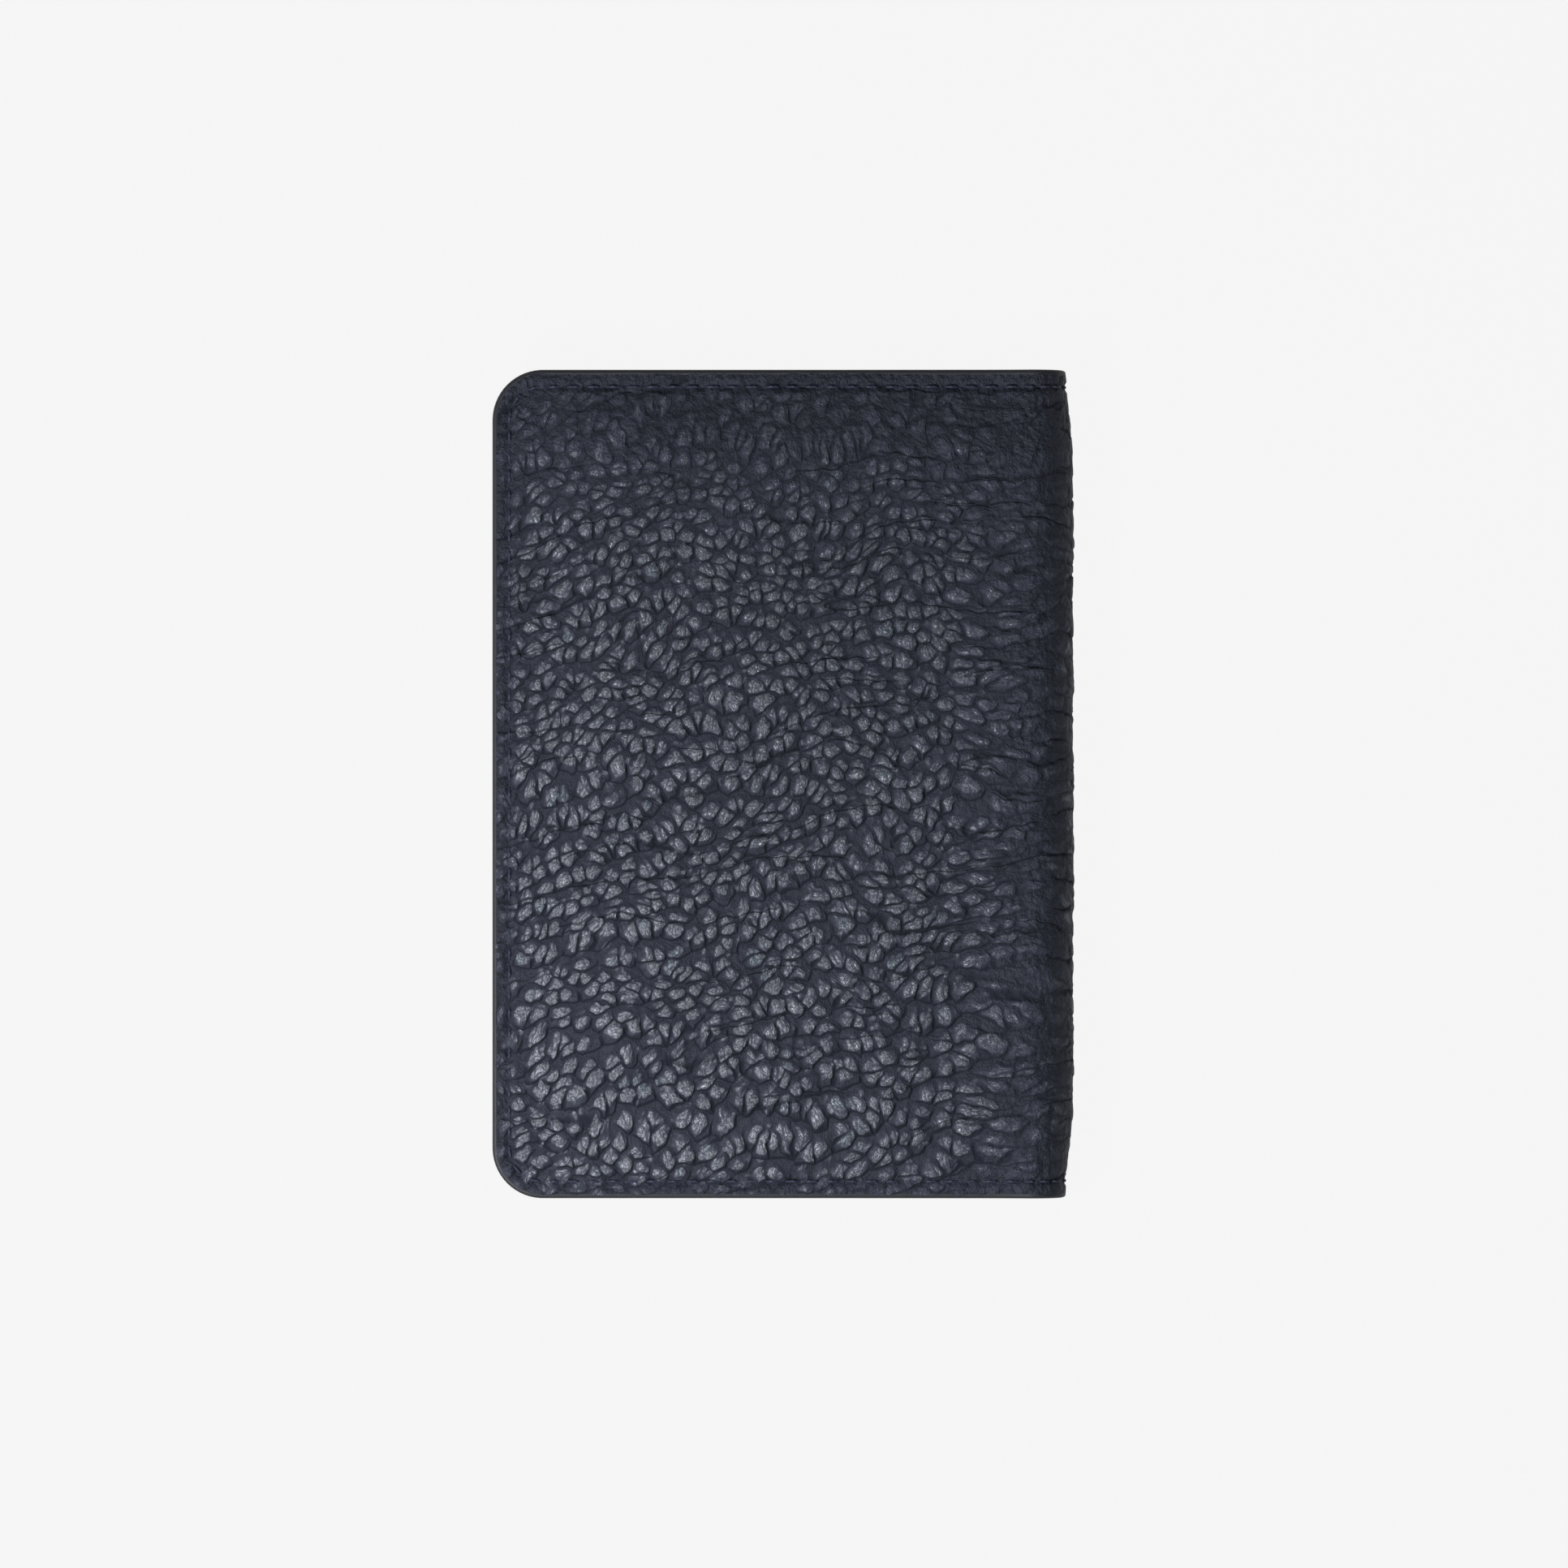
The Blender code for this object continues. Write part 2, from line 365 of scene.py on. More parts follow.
def hide_fields(kept, side):
    """What both the mesh and the finish need of the grain: the place on the whole hide,
    the bent place that the cells are laid out in, and how high the pebbles stand."""
    across, along, edge = kept.xyz()
    way = across if side == "back" else 2.0 * HIDE_WIDTH - across
    flat = kept.point(way, along)
    # creases run up to the right, and turn square to the spine as they reach it
    lean = across * LEAN - across * across * (LEAN / 2 / HIDE_WIDTH)
    drift = flat.noise(flat, 1 / DRIFT_STEP, 1.0).ramp(0.2, 0.8, -1.0, 1.0)
    sway = flat.noise(flat.point(along, way, 7.0), 1 / SWAY_STEP, 1.0)
    sway = sway.ramp(0.2, 0.8, -1.0, 1.0)
    jitter_x = flat.noise(flat, 1 / JITTER_STEP, 0.0).ramp(0.2, 0.8, -JITTER, JITTER)
    jitter_y = flat.noise(flat.point(along, way, 3.0), 1 / JITTER_STEP, 0.0)
    jitter_y = jitter_y.ramp(0.2, 0.8, -JITTER, JITTER)
    # it is pulled long across the fold and upwards along the top edge, and the pebbles
    # are smaller towards the top
    stretch = across - (across - PULL_FROM).math("MAXIMUM", 0.0) * PULL
    stretch = stretch + across * along * CLOSER_ACROSS
    if side == "front":
        middle = HIDE_WIDTH - (HIDE_WIDTH - PULL_FROM) * PULL
        stretch = (along * (HIDE_WIDTH * CLOSER_ACROSS) + middle) * 2.0 - stretch
    pull_y = (along - TOP_PULL_FROM).math("MAXIMUM", 0.0) * TOP_PULL
    bent_x = stretch + sway * SWAY + jitter_x
    bent_y = along - pull_y - lean + along * along * CLOSER_ALONG + drift * DRIFT + jitter_y
    bent = flat.point(bent_x, bent_y)
    # the grain is drawn flat round the spine, along the top edge and outside the seam
    to_spine = across.ramp(FLAT_WIDTH - 12.0, FLAT_WIDTH + 3.5, 1.0, LEFT_AT_SPINE)
    to_top = along.ramp(HALF_HEIGHT - 26.0, HALF_HEIGHT - 5.0, 1.0, LEFT_AT_TOP)
    pressed = edge.ramp(SEAM_IN, SEAM_IN + 1.6, LEFT_PAST_SEAM, 1.0)
    return flat, across, edge, bent, to_spine * to_top * pressed


def pebbles(bent):
    """The grain's parts: how high a pebble stands, how near a place is to the cut under
    it, and how well inside one of the lobes that a pebble is made of."""
    centre = bent.cells(bent, PEBBLE, "F1", 2)
    _, from_y, _ = bent.node(
        "ShaderNodeVectorMath", {"operation": "SUBTRACT"}, {0: bent, 1: centre}
    ).xyz()
    own = bent.cells(bent, PEBBLE, "F1", 1).xyz()
    # the distance from the middle of the pebble, as a share of the pebble's own radius
    share = bent.cells(bent, PEBBLE) / (own[0] * RADIUS_SPREAD + RADIUS_LEAST)
    above = share.ramp(0.10, 1.0, 1.0, 0.0)
    below = share.ramp(0.45, 1.0, 1.0, 0.0)
    low_side = from_y.ramp(-0.5, 0.5, 1.0, 0.0)
    dome = above + (below - above) * low_side
    edge = bent.cells(bent, PEBBLE, "DISTANCE_TO_EDGE") * PEBBLE
    height = dome * edge.ramp(0.0, 0.30) * (own[1] * STAND_SPREAD + STAND_LEAST)
    # small pebbles fill the places that the large ones leave
    grain = bent.cells(bent, GRAIN).ramp(0.10, 0.60, 1.0, 0.0)
    own_small = bent.cells(bent, GRAIN, "F1", 1).xyz()
    grain = grain * (own_small[2] * SMALL_SPREAD + SMALL_LEAST)
    height = height.math("MAXIMUM", grain)
    under = edge.ramp(0.06, 0.34, 1.0, 0.0) * from_y.ramp(-0.9, 0.2, 1.0, 0.1)
    x, y, _ = bent.xyz()
    lobe = bent.cells(bent.point(x, y * LOBE_SQUASH, 0.0), LOBE, "DISTANCE_TO_EDGE") * LOBE
    return height, under, lobe.ramp(0.0, 0.36)


def creases(flat, across, bent):
    """The creases in the hide: 1 at the bottom of a crease and 0 away from it."""
    way, _, _ = flat.xyz()
    _, bent_y, _ = bent.xyz()
    long_way = bent.point(way * 0.020, bent_y * 0.15)
    run = bent.noise(long_way, 1.0, 0.0)
    long_crease = (run - 0.5).math("ABSOLUTE").ramp(0.0, CREASE_WIDTH, 1.0, 0.0)
    broken = bent.noise(bent.point(way * 0.10, bent_y * 0.35, 9.0), 1.0, 1.0)
    long_crease = long_crease * broken.ramp(0.38, 0.56)
    # shorter wrinkles, a few millimetres apart, run round the bend of the spine
    stray = bent.noise(bent.point(way * 0.07, bent_y * 0.12, 5.0), 1.0, 2.0)
    row = bent_y / WRINKLE_STEP + stray * WRINKLE_STRAY
    short = (row.math("FRACT") - 0.5).math("ABSOLUTE").ramp(0.0, WRINKLE_WIDTH, 1.0, 0.0)
    near_spine = across.ramp(FLAT_WIDTH - 18.0, FLAT_WIDTH - 3.0)
    short = short * broken.ramp(0.40, 0.60) * near_spine
    return long_crease.math("MAXIMUM", short)


def hide_relief(side):
    """The relief that is real geometry: a node group that moves each vertex."""
    group = bpy.data.node_groups.new(f"{side}_hide_grain", "GeometryNodeTree")
    kind = "NodeSocketGeometry"
    group.interface.new_socket("Geometry", in_out="INPUT", socket_type=kind)
    group.interface.new_socket("Geometry", in_out="OUTPUT", socket_type=kind)
    group_in = group.nodes.new("NodeGroupInput")
    group_out = group.nodes.new("NodeGroupOutput")
    start = Wire(group, group_in.outputs[0])
    kept = start.node(
        "GeometryNodeInputNamedAttribute", {"data_type": "FLOAT_VECTOR"}, {0: "flat_place"}
    )
    flat, across, edge, bent, strength = hide_fields(kept, side)
    pebble, _, _ = pebbles(bent)
    folds = creases(flat, across, bent)
    fold_strength = across.ramp(
        FLAT_WIDTH - 8.0, FLAT_WIDTH + 2.0, CREASE_ON_FLAT, CREASE_ON_SPINE
    )
    waves = flat.noise(flat, 1 / WAVE_STEP, 1.0).ramp(0.2, 0.8, -WAVE, WAVE)
    seam_dip = (edge - SEAM_IN).math("ABSOLUTE").ramp(0.10, 0.75, 1.0, 0.0)
    rounded_rim = edge.ramp(EDGE_BEAD - 0.1, EDGE_BEAD + 0.8, 1.0, 0.0)
    lift = pebble * strength * PEBBLE_HEIGHT - folds * fold_strength * CREASE_DEPTH
    lift = (lift + waves - GRAIN_SINK) * (1.0 - rounded_rim)
    if side == "front":
        # the table presses the crests that it carries back into the leather
        on_table = across.ramp(FLAT_WIDTH - 6.0, FLAT_WIDTH, 1.0, 0.0)
        lift = lift - edge.ramp(SEAM_IN + 0.5, SEAM_IN + 4.0) * on_table * TABLE_PRESS
    lift = (lift - seam_dip * SEAM_DIP - rounded_rim * RIM_SINK) * MM
    normal = start.node("GeometryNodeInputNormal", {}, {})
    offset = start.node(
        "ShaderNodeVectorMath", {"operation": "SCALE"}, {0: normal, "Scale": lift}
    )
    moved = start.node(
        "GeometryNodeSetPosition", {}, {"Geometry": start, "Offset": offset}
    )
    group.links.new(moved.socket, group_out.inputs[0])
    return group


def new_finish(name):
    """A material, its Principled shader and the flat place that its patterns follow."""
    material = bpy.data.materials.new(name)
    material.use_nodes = True
    tree = material.node_tree
    attribute = tree.nodes.new("ShaderNodeAttribute")
    attribute.attribute_name = "flat_place"
    kept = Wire(tree, attribute.outputs["Vector"])
    return material, tree.nodes["Principled BSDF"], kept


def feed(shader, socket, wire):
    wire.tree.links.new(wire.socket, shader.inputs[socket])


def mix(factor, first, second):
    return factor.node(
        "ShaderNodeMix", {"data_type": "RGBA"}, {0: factor, 6: first, 7: second}, 2
    )


def emboss(height):
    """The normal of a surface whose fine relief is height, in millimetres."""
    return height.node("ShaderNodeBump", {}, {"Height": height * MM, "Distance": 1.0})


BASE_NAVY = (0.0160, 0.0175, 0.0280, 1.0)
# the crests' colour: partly real wear, partly a painted highlight
CREST_WEAR_AND_HIGHLIGHT_NAVY = (0.1650, 0.1710, 0.1950, 1.0)
# painted shade: the near black that the hollows, cuts and creases are darkened to
PAINTED_SHADE_NAVY = (0.0030, 0.0035, 0.0070, 1.0)
TEAL_TINT = (0.1000, 0.1520, 0.1690, 1.0)
HIDE_SHEEN = 0.44
SHEEN_TINT = (0.76, 0.83, 1.0, 1.0)
ROUGH, ROUGH_OFF_CREST, ROUGH_IN_GROOVE = 0.68, 0.40, 0.30
# heights and depths of the relief that only the finish carries
LOBE_HEIGHT = 0.12
WRINKLE_ON_CREST, WRINKLE_ELSEWHERE = 0.030, 0.018
FINE_CELL, CELL_ON_CREST, CELL_ELSEWHERE = 0.38, 0.018, 0.024
PORE_STEP, PORE_HEIGHT = 0.30, 0.058
LUMP_STEP, LUMP_ON_FLAT, LUMP_IN_HOLLOW = 1.1, 0.65, 0.14
GROOVE_DEPTH = 0.22
CREASE_LINE_DEPTH = 0.12


def hide_finish(side):
    """Navy leather with paler crests, partly real wear and partly a painted highlight,
    wrinkled finely, and with painted shade that makes its hollows and grooves near black.
    """
    material, shader, kept = new_finish(f"pebbled_navy_leather_{side}")
    flat, across, _, bent, strength = hide_fields(kept, side)
    pebble, under, lobe = pebbles(bent)
    folds = creases(flat, across, bent)
    pebble = pebble * strength
    groove = under * strength
    lobe = lobe * pebble
    crest = (pebble * 0.40 + lobe * 0.65).ramp(0.18, 0.62)
    # the fine wrinkles and cells of the skin, on the crests and between them
    x, y, _ = bent.xyz()
    wrinkle = flat.noise(flat.point(x * 2.5, y * 2.1), 1.0, 3.0, 0.65)
    wrinkle = (wrinkle - 0.5).math("ABSOLUTE").ramp(0.0, 0.06)
    pores = flat.noise(flat, 1 / PORE_STEP, 3.0, 0.7)
    stray = flat.noise(flat, 1 / 0.9, 1.0, 0.5, 1)
    fine_way = flat.point(x, y * 0.60).moved(stray)
    fine_edge = flat.cells(fine_way, FINE_CELL, "DISTANCE_TO_EDGE") * FINE_CELL
    fine_cell = fine_edge.ramp(0.0, 0.11)
    fine = lobe * LOBE_HEIGHT
    fine = fine + wrinkle * (crest * WRINKLE_ON_CREST + WRINKLE_ELSEWHERE)
    fine = fine + pores * PORE_HEIGHT
    fine = fine + fine_cell * (crest * CELL_ON_CREST + CELL_ELSEWHERE)
    fine = fine - groove * GROOVE_DEPTH - folds * CREASE_LINE_DEPTH
    # where the hide is drawn flat, and in its hollows, it is rough with low lumps
    lumps = flat.noise(flat, 1 / LUMP_STEP, 2.0, 0.5)
    rough = (1.0 - strength) * LUMP_ON_FLAT + (1.0 - crest) * LUMP_IN_HOLLOW
    fine = fine + lumps * rough
    feed(shader, "Normal", emboss(fine))
    patches = flat.noise(flat, 1 / 6.0, 2.0).ramp(0.55, 0.75)
    # sunk marks the cut under each pebble and the creases: the colour paints shadow into
    # them, and they are made rougher
    sunk = groove.math("MAXIMUM", folds * 0.8)
    # the crests are painted paler, partly as real wear and partly as a painted highlight,
    # broken into bright streaks by the wrinkles and fine cells
    wear_and_highlight = crest * strength * (wrinkle * 0.85 + 0.20) * (fine_cell * 0.70 + 0.38)
    # the lower outer corners are handled most, and are worn palest
    # the painted highlight on the crests is made stronger towards the lower outer corner,
    # nearest the key lamp, and weaker towards the top and the spine
    along = kept.xyz()[1]
    wear_and_highlight = wear_and_highlight * along.ramp(-HALF_HEIGHT, HALF_HEIGHT, 1.30, 0.70)
    wear_and_highlight = wear_and_highlight * across.ramp(0.0, FLAT_WIDTH, 1.15, 0.65)
    # painted shade: the hollows between the pebbles are darkened towards near black
    painted_hollow_shade = pebble.ramp(0.05, 0.55, 1.0, 0.0) * pores.ramp(0.3, 0.7, 0.6, 1.0)
    crest_wear_and_highlight_tone = mix(patches * 0.5, CREST_WEAR_AND_HIGHLIGHT_NAVY, TEAL_TINT)
    colour = mix(painted_hollow_shade, BASE_NAVY, PAINTED_SHADE_NAVY)
    colour = mix(wear_and_highlight, colour, crest_wear_and_highlight_tone)
    # painted shadow in the cuts under the pebbles and in the creases
    colour = mix(sunk * 0.9, colour, PAINTED_SHADE_NAVY)
    feed(shader, "Base Color", colour)
    roughness = ROUGH - crest * ROUGH_OFF_CREST + sunk * ROUGH_IN_GROOVE
    feed(shader, "Roughness", roughness)
    shader.inputs["Specular IOR Level"].default_value = HIDE_SHEEN
    shader.inputs["Specular Tint"].default_value = SHEEN_TINT
    return material


def close_back(front, columns, rows, depth, seam_depth, side, outline):
    """Closes an outer face with a coarser inner face, bridged to it round the border."""
    inner, u, v = new_grid(front.name + "_inner", columns, rows)
    across, along = rounded(u, v, *outline)
    place(inner, laid(across, along, depth, seam_depth, side))
    keep_flat_place(inner, across, along)
    bpy.ops.object.select_all(action="DESELECT")
    inner.select_set(True)
    front.select_set(True)
    bpy.context.view_layer.objects.active = front
    bpy.ops.object.join()
    bpy.ops.object.mode_set(mode="EDIT")
    bpy.ops.mesh.select_mode(type="EDGE")
    bpy.ops.mesh.select_all(action="DESELECT")
    bpy.ops.mesh.select_non_manifold()
    bpy.ops.mesh.bridge_edge_loops()
    bpy.ops.mesh.select_all(action="SELECT")
    bpy.ops.mesh.normals_make_consistent(inside=False)
    bpy.ops.object.mode_set(mode="OBJECT")


def bend_with(obj):
    """Bakes the sheet's placement into its mesh. The sheet was already laid round the fold
    to the middle of the spine, by the same rule as every layer, so that none crosses
    another."""
    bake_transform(obj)


def shade(obj, angle):
    bpy.ops.object.select_all(action="DESELECT")
    obj.select_set(True)
    bpy.context.view_layer.objects.active = obj
    bpy.ops.object.shade_smooth_by_angle(angle=math.radians(angle))


HIDE_STEP = 0.36
INNER_COLUMNS, INNER_ROWS = 48, 40
HIDE_SHARP = 50
for side in ("front", "back"):
    outline = (EDGE_BEAD, HIDE_WIDTH, HALF_HEIGHT - EDGE_BEAD, CORNER - EDGE_BEAD)
    columns = round(HIDE_WIDTH / HIDE_STEP)
    rows = round(2 * HALF_HEIGHT / HIDE_STEP)
    hide, u, v = new_grid(f"{side}_outer_leather", columns, rows)
    across, along = rounded(u, v, *outline)
    place(hide, laid(across, along, 0.0, EDGE_SINK, side))
    keep_flat_place(hide, across, along)
    if side == "front":
        hide.data.flip_normals()
    relief = hide.modifiers.new("grain", "NODES")
    relief.node_group = hide_relief(side)
    apply_all(hide)
    sewn = EDGE_SINK + LEATHER
    close_back(hide, INNER_COLUMNS, INNER_ROWS, LEATHER, sewn, side, outline)
    set_finish(hide, hide_finish(side))
    shade(hide, HIDE_SHARP)
    bend_with(hide)
    if side == "back":
        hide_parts("back_cover", "spine_cover")
    else:
        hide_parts("front_cover")


# ---------------------------------------------------------------------------
# Stiffeners. A thin grey fibre board is glued inside each cover, short of the seam,
# and runs on round the spine, where its two halves meet in the middle.
# ---------------------------------------------------------------------------
BOARD_DEPTH, BOARD_SEWN, BOARD_THICK = 1.30, 2.92, 0.25
BOARD_IN = 3.2
BOARD_GRID = (40, 50)
SHEET_SHARP = 40
BOARD_GREY = (0.34, 0.31, 0.26, 1.0)
BOARD_PALE = (0.44, 0.40, 0.34, 1.0)
BOARD_FIBRE = (0.26, 0.24, 0.21, 1.0)
SPECK_STEP = 0.35
BOARD_RELIEF = 0.03

board, shader, kept = new_finish("grey_fibre_board")
across, along, _ = kept.xyz()
specks = kept.noise(kept, 1 / SPECK_STEP, 3.0, 0.7)
fibres = kept.noise(kept.point(across * 0.4, along * 2.0), 1.0, 3.0, 0.7)
feed(shader, "Normal", emboss((specks + fibres) * BOARD_RELIEF))
grey = mix(specks.ramp(0.35, 0.65), BOARD_GREY, BOARD_PALE)
feed(shader, "Base Color", mix(fibres.ramp(0.55, 0.8), grey, BOARD_FIBRE))
feed(shader, "Roughness", specks * 0.15 + 0.75)

for side in ("front", "back"):
    half = HALF_HEIGHT - BOARD_IN
    boards, u, v = new_grid(f"{side}_boards", *BOARD_GRID)
    across, along = rounded(u, v, BOARD_IN, HIDE_WIDTH, half, CORNER - BOARD_IN)
    place(boards, laid(across, along, BOARD_DEPTH, BOARD_SEWN, side))
    keep_flat_place(boards, across, along)
    thicken(boards, BOARD_THICK, side)
    set_finish(boards, board)
    shade(boards, SHEET_SHARP)
    bend_with(boards)
    if side == "back":
        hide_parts("back_stiffener", "spine_stiffener")
    else:
        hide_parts("front_stiffener")

# ---------------------------------------------------------------------------
# Lining. Smooth navy leather backs both halves and runs through the spine, where it
# is seen between the pockets when the holder is open. It wrinkles at the folds.
# ---------------------------------------------------------------------------
LINING_DEPTH, LINING_SEWN, LINING_THICK = 1.85, 3.25, 0.25
LINING_GRID = (120, 60)
SHEET_IN = 0.45
NAVY_SHEET = (0.0140, 0.0155, 0.0250, 1.0)
NAVY_RAISED = (0.0260, 0.0285, 0.0430, 1.0)
NAVY_INK = (0.0050, 0.0055, 0.0090, 1.0)
LINING_GRAIN, LINING_GRAIN_HEIGHT = 0.50, 0.035
FOLD_WRINKLE_HEIGHT = 0.25


def fine_grain(kept, spacing):
    """A smooth leather's grain: fine cells with soft edges over a slow drift of tone."""
    across, along, _ = kept.xyz()
    flat = kept.point(across, along)
    stray = flat.noise(flat, 1 / 0.8, 1.0, 0.5, 1)
    cell = flat.cells(flat.moved(stray), spacing).ramp(0.10, 0.75, 1.0, 0.0)
    drift = flat.noise(flat, 1 / 12.0, 2.0)
    return flat, cell, drift


lining, shader, kept = new_finish("smooth_navy_lining")
flat, cell, drift = fine_grain(kept, LINING_GRAIN)
across, along, _ = kept.xyz()
at_fold = across.ramp(FLAT_WIDTH - 4.0, FLAT_WIDTH + 1.0)
wrinkles = flat.noise(flat.point(across * 0.9, along * 0.06), 1.0, 1.0) * at_fold
lining_relief = cell * LINING_GRAIN_HEIGHT + wrinkles * FOLD_WRINKLE_HEIGHT
feed(shader, "Normal", emboss(lining_relief))
feed(shader, "Base Color", mix(cell * 0.6 + drift * 0.4, NAVY_SHEET, NAVY_RAISED))
feed(shader, "Roughness", drift * 0.2 + 0.45)

for side in ("front", "back"):
    lining_sheet, u, v = new_grid(f"{side}_lining_leather", *LINING_GRID)
    half = HALF_HEIGHT - SHEET_IN
    across, along = rounded(u, v, SHEET_IN, HIDE_WIDTH, half, CORNER - SHEET_IN)
    place(lining_sheet, laid(across, along, LINING_DEPTH, LINING_SEWN, side))
    keep_flat_place(lining_sheet, across, along)
    thicken(lining_sheet, LINING_THICK, side)
    set_finish(lining_sheet, lining)
    shade(lining_sheet, SHEET_SHARP)
    bend_with(lining_sheet)
    if side == "back":
        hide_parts("back_lining", "spine_lining")
    else:
        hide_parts("front_lining")

# ---------------------------------------------------------------------------
# Pocket cloth. A thin dark twill is the back wall of the deepest pocket of each half,
# sewn in round three sides and free at the fold.
# ---------------------------------------------------------------------------
CLOTH_DEPTH, CLOTH_SEWN, CLOTH_THICK = 2.30, 3.56, 0.20
CLOTH_GRID = (70, 60)
CLOTH_END = FLAT_WIDTH - 0.4
TWILL = 0.45
TWILL_HEIGHT, SLUB_HEIGHT = 0.05, 0.02
CLOTH_DARK = (0.010, 0.011, 0.016, 1.0)
CLOTH_LIGHT = (0.042, 0.045, 0.060, 1.0)
CLOTH_SLUB = (0.055, 0.058, 0.074, 1.0)
CLOTH_ROUGHNESS = 0.85

cloth, shader, kept = new_finish("dark_twill")
across, along, _ = kept.xyz()
ribs = ((across + along) * (2 * math.pi / TWILL)).math("SINE") * 0.5 + 0.5
picks = ((across - along) * (math.pi / TWILL)).math("SINE") * 0.5 + 0.5
weave = ribs * (picks * 0.35 + 0.65)
slubs = kept.noise(kept.point(across * 2.5, along * 0.25), 1.0, 2.0)
feed(shader, "Normal", emboss(weave * TWILL_HEIGHT + slubs * SLUB_HEIGHT))
thread_tone = mix(weave, CLOTH_DARK, CLOTH_LIGHT)
feed(shader, "Base Color", mix(slubs * 0.3, thread_tone, CLOTH_SLUB))
shader.inputs["Roughness"].default_value = CLOTH_ROUGHNESS


def ride_with(obj, side, material, node):
    """A sheet that stays on its half, with its finish and its CAD part."""
    set_finish(obj, material)
    shade(obj, SHEET_SHARP)
    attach(obj, f"{side}_half")
    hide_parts(node)


for side in ("front", "back"):
    twill, u, v = new_grid(f"{side}_pocket_cloth", *CLOTH_GRID)
    half = HALF_HEIGHT - SHEET_IN
    across, along = rounded(u, v, SHEET_IN, CLOTH_END, half, CORNER - SHEET_IN)
    place(twill, laid(across, along, CLOTH_DEPTH, CLOTH_SEWN, side))
    keep_flat_place(twill, across, along)
    thicken(twill, CLOTH_THICK, side)
    ride_with(twill, side, cloth, f"{side}_pocket_backer")

# ---------------------------------------------------------------------------
# Card pockets. Two T-shaped strips and a front panel of thin navy leather are stacked
# over the cloth. Each mouth faces the spine, with a pressed line and an inked edge.
# ---------------------------------------------------------------------------
POCKETS = [
    # name, depth of the flat sheet, depth where it is sewn, thickness
    ("pocket_strip_1", 3.32, 3.82, 0.25),
    ("pocket_strip_2", 4.39, 4.13, 0.25),
    ("pocket_panel", 5.46, 4.44, 0.35),
]
POCKET_GRID = (64, 72)
MOUTH_BAND = 11.0
TONGUE_STEP = 5.0
TONGUE_BLEND = 1.2
SQUARE_CORNER = 1.0
MOUTH_LINE = 1.5
MOUTH_LINE_DEPTH = 0.15
MOUTH_SLACK, MOUTH_SLACK_RUN = 0.12, 16.0
POCKET_GRAIN, POCKET_GRAIN_HEIGHT = 0.42, 0.030

pocket, shader, kept = new_finish("smooth_navy_pocket")
flat, cell, drift = fine_grain(kept, POCKET_GRAIN)
from_mouth = kept.xyz()[2]
pressed_line = (from_mouth - MOUTH_LINE).math("ABSOLUTE").ramp(0.05, 0.30, 1.0, 0.0)
inked = from_mouth.ramp(0.02, 0.12, 1.0, 0.0)
rub = flat.noise(flat, 1 / 2.0, 3.0) * from_mouth.ramp(0.2, 3.0, 1.0, 0.0)
feed(shader, "Normal", emboss(cell * POCKET_GRAIN_HEIGHT - pressed_line * MOUTH_LINE_DEPTH))
tone = mix(cell * 0.6 + drift * 0.4, NAVY_SHEET, NAVY_RAISED)
tone = mix(pressed_line * 0.7, tone, NAVY_INK)
feed(shader, "Base Color", mix(inked, tone, NAVY_INK))
feed(shader, "Roughness", drift * 0.2 + 0.50 - rub * 0.15 - inked * 0.1)

for side in ("front", "back"):
    for kind, depth, sewn, thick in POCKETS:
        low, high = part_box(f"{side}_{kind}")
        mouth = high.x / MM - OUTER_EDGE
        foot = low.x / MM - OUTER_EDGE
        half = HALF_HEIGHT - SHEET_IN
        panel = kind == "pocket_panel"
        left = SHEET_IN if panel else foot
        corner = CORNER - SHEET_IN if panel else SQUARE_CORNER
        leaf, u, v = new_grid(f"{side}_{kind}_leather", *POCKET_GRID)
        across, along = rounded(u, v, left, mouth, half, corner)
        if not panel:
            band = smooth((across - mouth + MOUTH_BAND) / TONGUE_BLEND + 0.5)
            along = along * (1.0 - TONGUE_STEP / half * (1.0 - band))
        # the mouth opens a little more in its middle than at its sewn ends
        slack = smooth(1.0 - (mouth - across) / MOUTH_SLACK_RUN)
        slack = slack * (1.0 - (along / half) ** 2) * MOUTH_SLACK
        place(leaf, laid(across, along, depth + slack, sewn, side))
        keep_flat_place(leaf, across, along, mouth - across)
        thicken(leaf, thick, side)
        ride_with(leaf, side, pocket, f"{side}_{kind}")

# ---------------------------------------------------------------------------
# Painted edges. Charcoal edge ink, built up in coats to a smooth round bead, seals the
# pressed stack of sheets round three sides of each half and at both ends of the spine.
# ---------------------------------------------------------------------------
# the innermost sheet by distance from the outer edge: its depth, and its sewn depth
STACK_AT = [46.4, 46.9, 51.9, 52.4, 57.4, 57.9, CLOTH_END, CLOTH_END + 0.5]
STACK_DEPTH = [5.81, 4.64, 4.64, 3.57, 3.57, 2.50, 2.50, 2.10]
STACK_SEWN = [4.79, 4.38, 4.38, 4.07, 4.07, 3.76, 3.76, 3.50]
BEAD_TOP = 0.10
BEAD_DEPTH = 3.0
BEAD_STEPS_PER_MM = 1.5
BEAD_SHARP = 60
# the bead's section: in from the free edge, and from the outer face (0) to the inner
BEAD_SECTION = [
    (0.80, 0.10), (0.40, 0.00), (0.10, 0.01), (-0.08, 0.08), (-0.18, 0.25),
    (-0.18, 0.75), (-0.08, 0.92), (0.10, 0.99), (0.40, 1.00), (0.80, 0.90),
]


def innermost(x):
    """The depth of the innermost sheet at x, in the middle and where it is sewn."""
    return np.interp(x, STACK_AT, STACK_DEPTH), np.interp(x, STACK_AT, STACK_SEWN)


